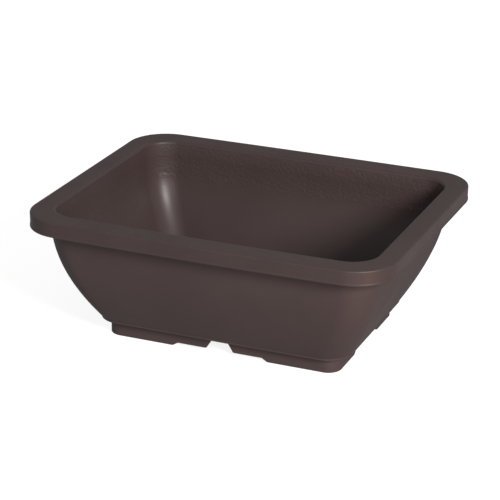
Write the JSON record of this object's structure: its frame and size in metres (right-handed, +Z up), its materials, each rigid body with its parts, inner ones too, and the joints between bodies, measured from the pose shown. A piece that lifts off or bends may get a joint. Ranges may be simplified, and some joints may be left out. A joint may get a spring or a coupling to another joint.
{
  "type": "bonsai pot",
  "caption": "Rectangular plastic bonsai training pot with a turned-down rim, curved walls and low stepped feet, with drainage screens held by bent-wire clips.",
  "frame": {"origin": "under the middle of the pot, on the surface that its feet stand on", "axes": "+X along the pot's length, +Z up, and -Y out of the long side taken as its front"},
  "size_m": [0.25, 0.201, 0.091],
  "materials": {
    "pot_plastic": "dark brown-black moulded polypropylene, satin, finely grained near the rim inside",
    "netting": "black extruded netting",
    "wire": "brown anodised bonsai wire"
  },
  "bodies": {
    "root": {"pot_shell": "pot_plastic", "drainage_screen_left": "netting", "drainage_screen_right": "netting", "screen_clip_left": "wire", "screen_clip_right": "wire"}
  },
  "joints": []
}
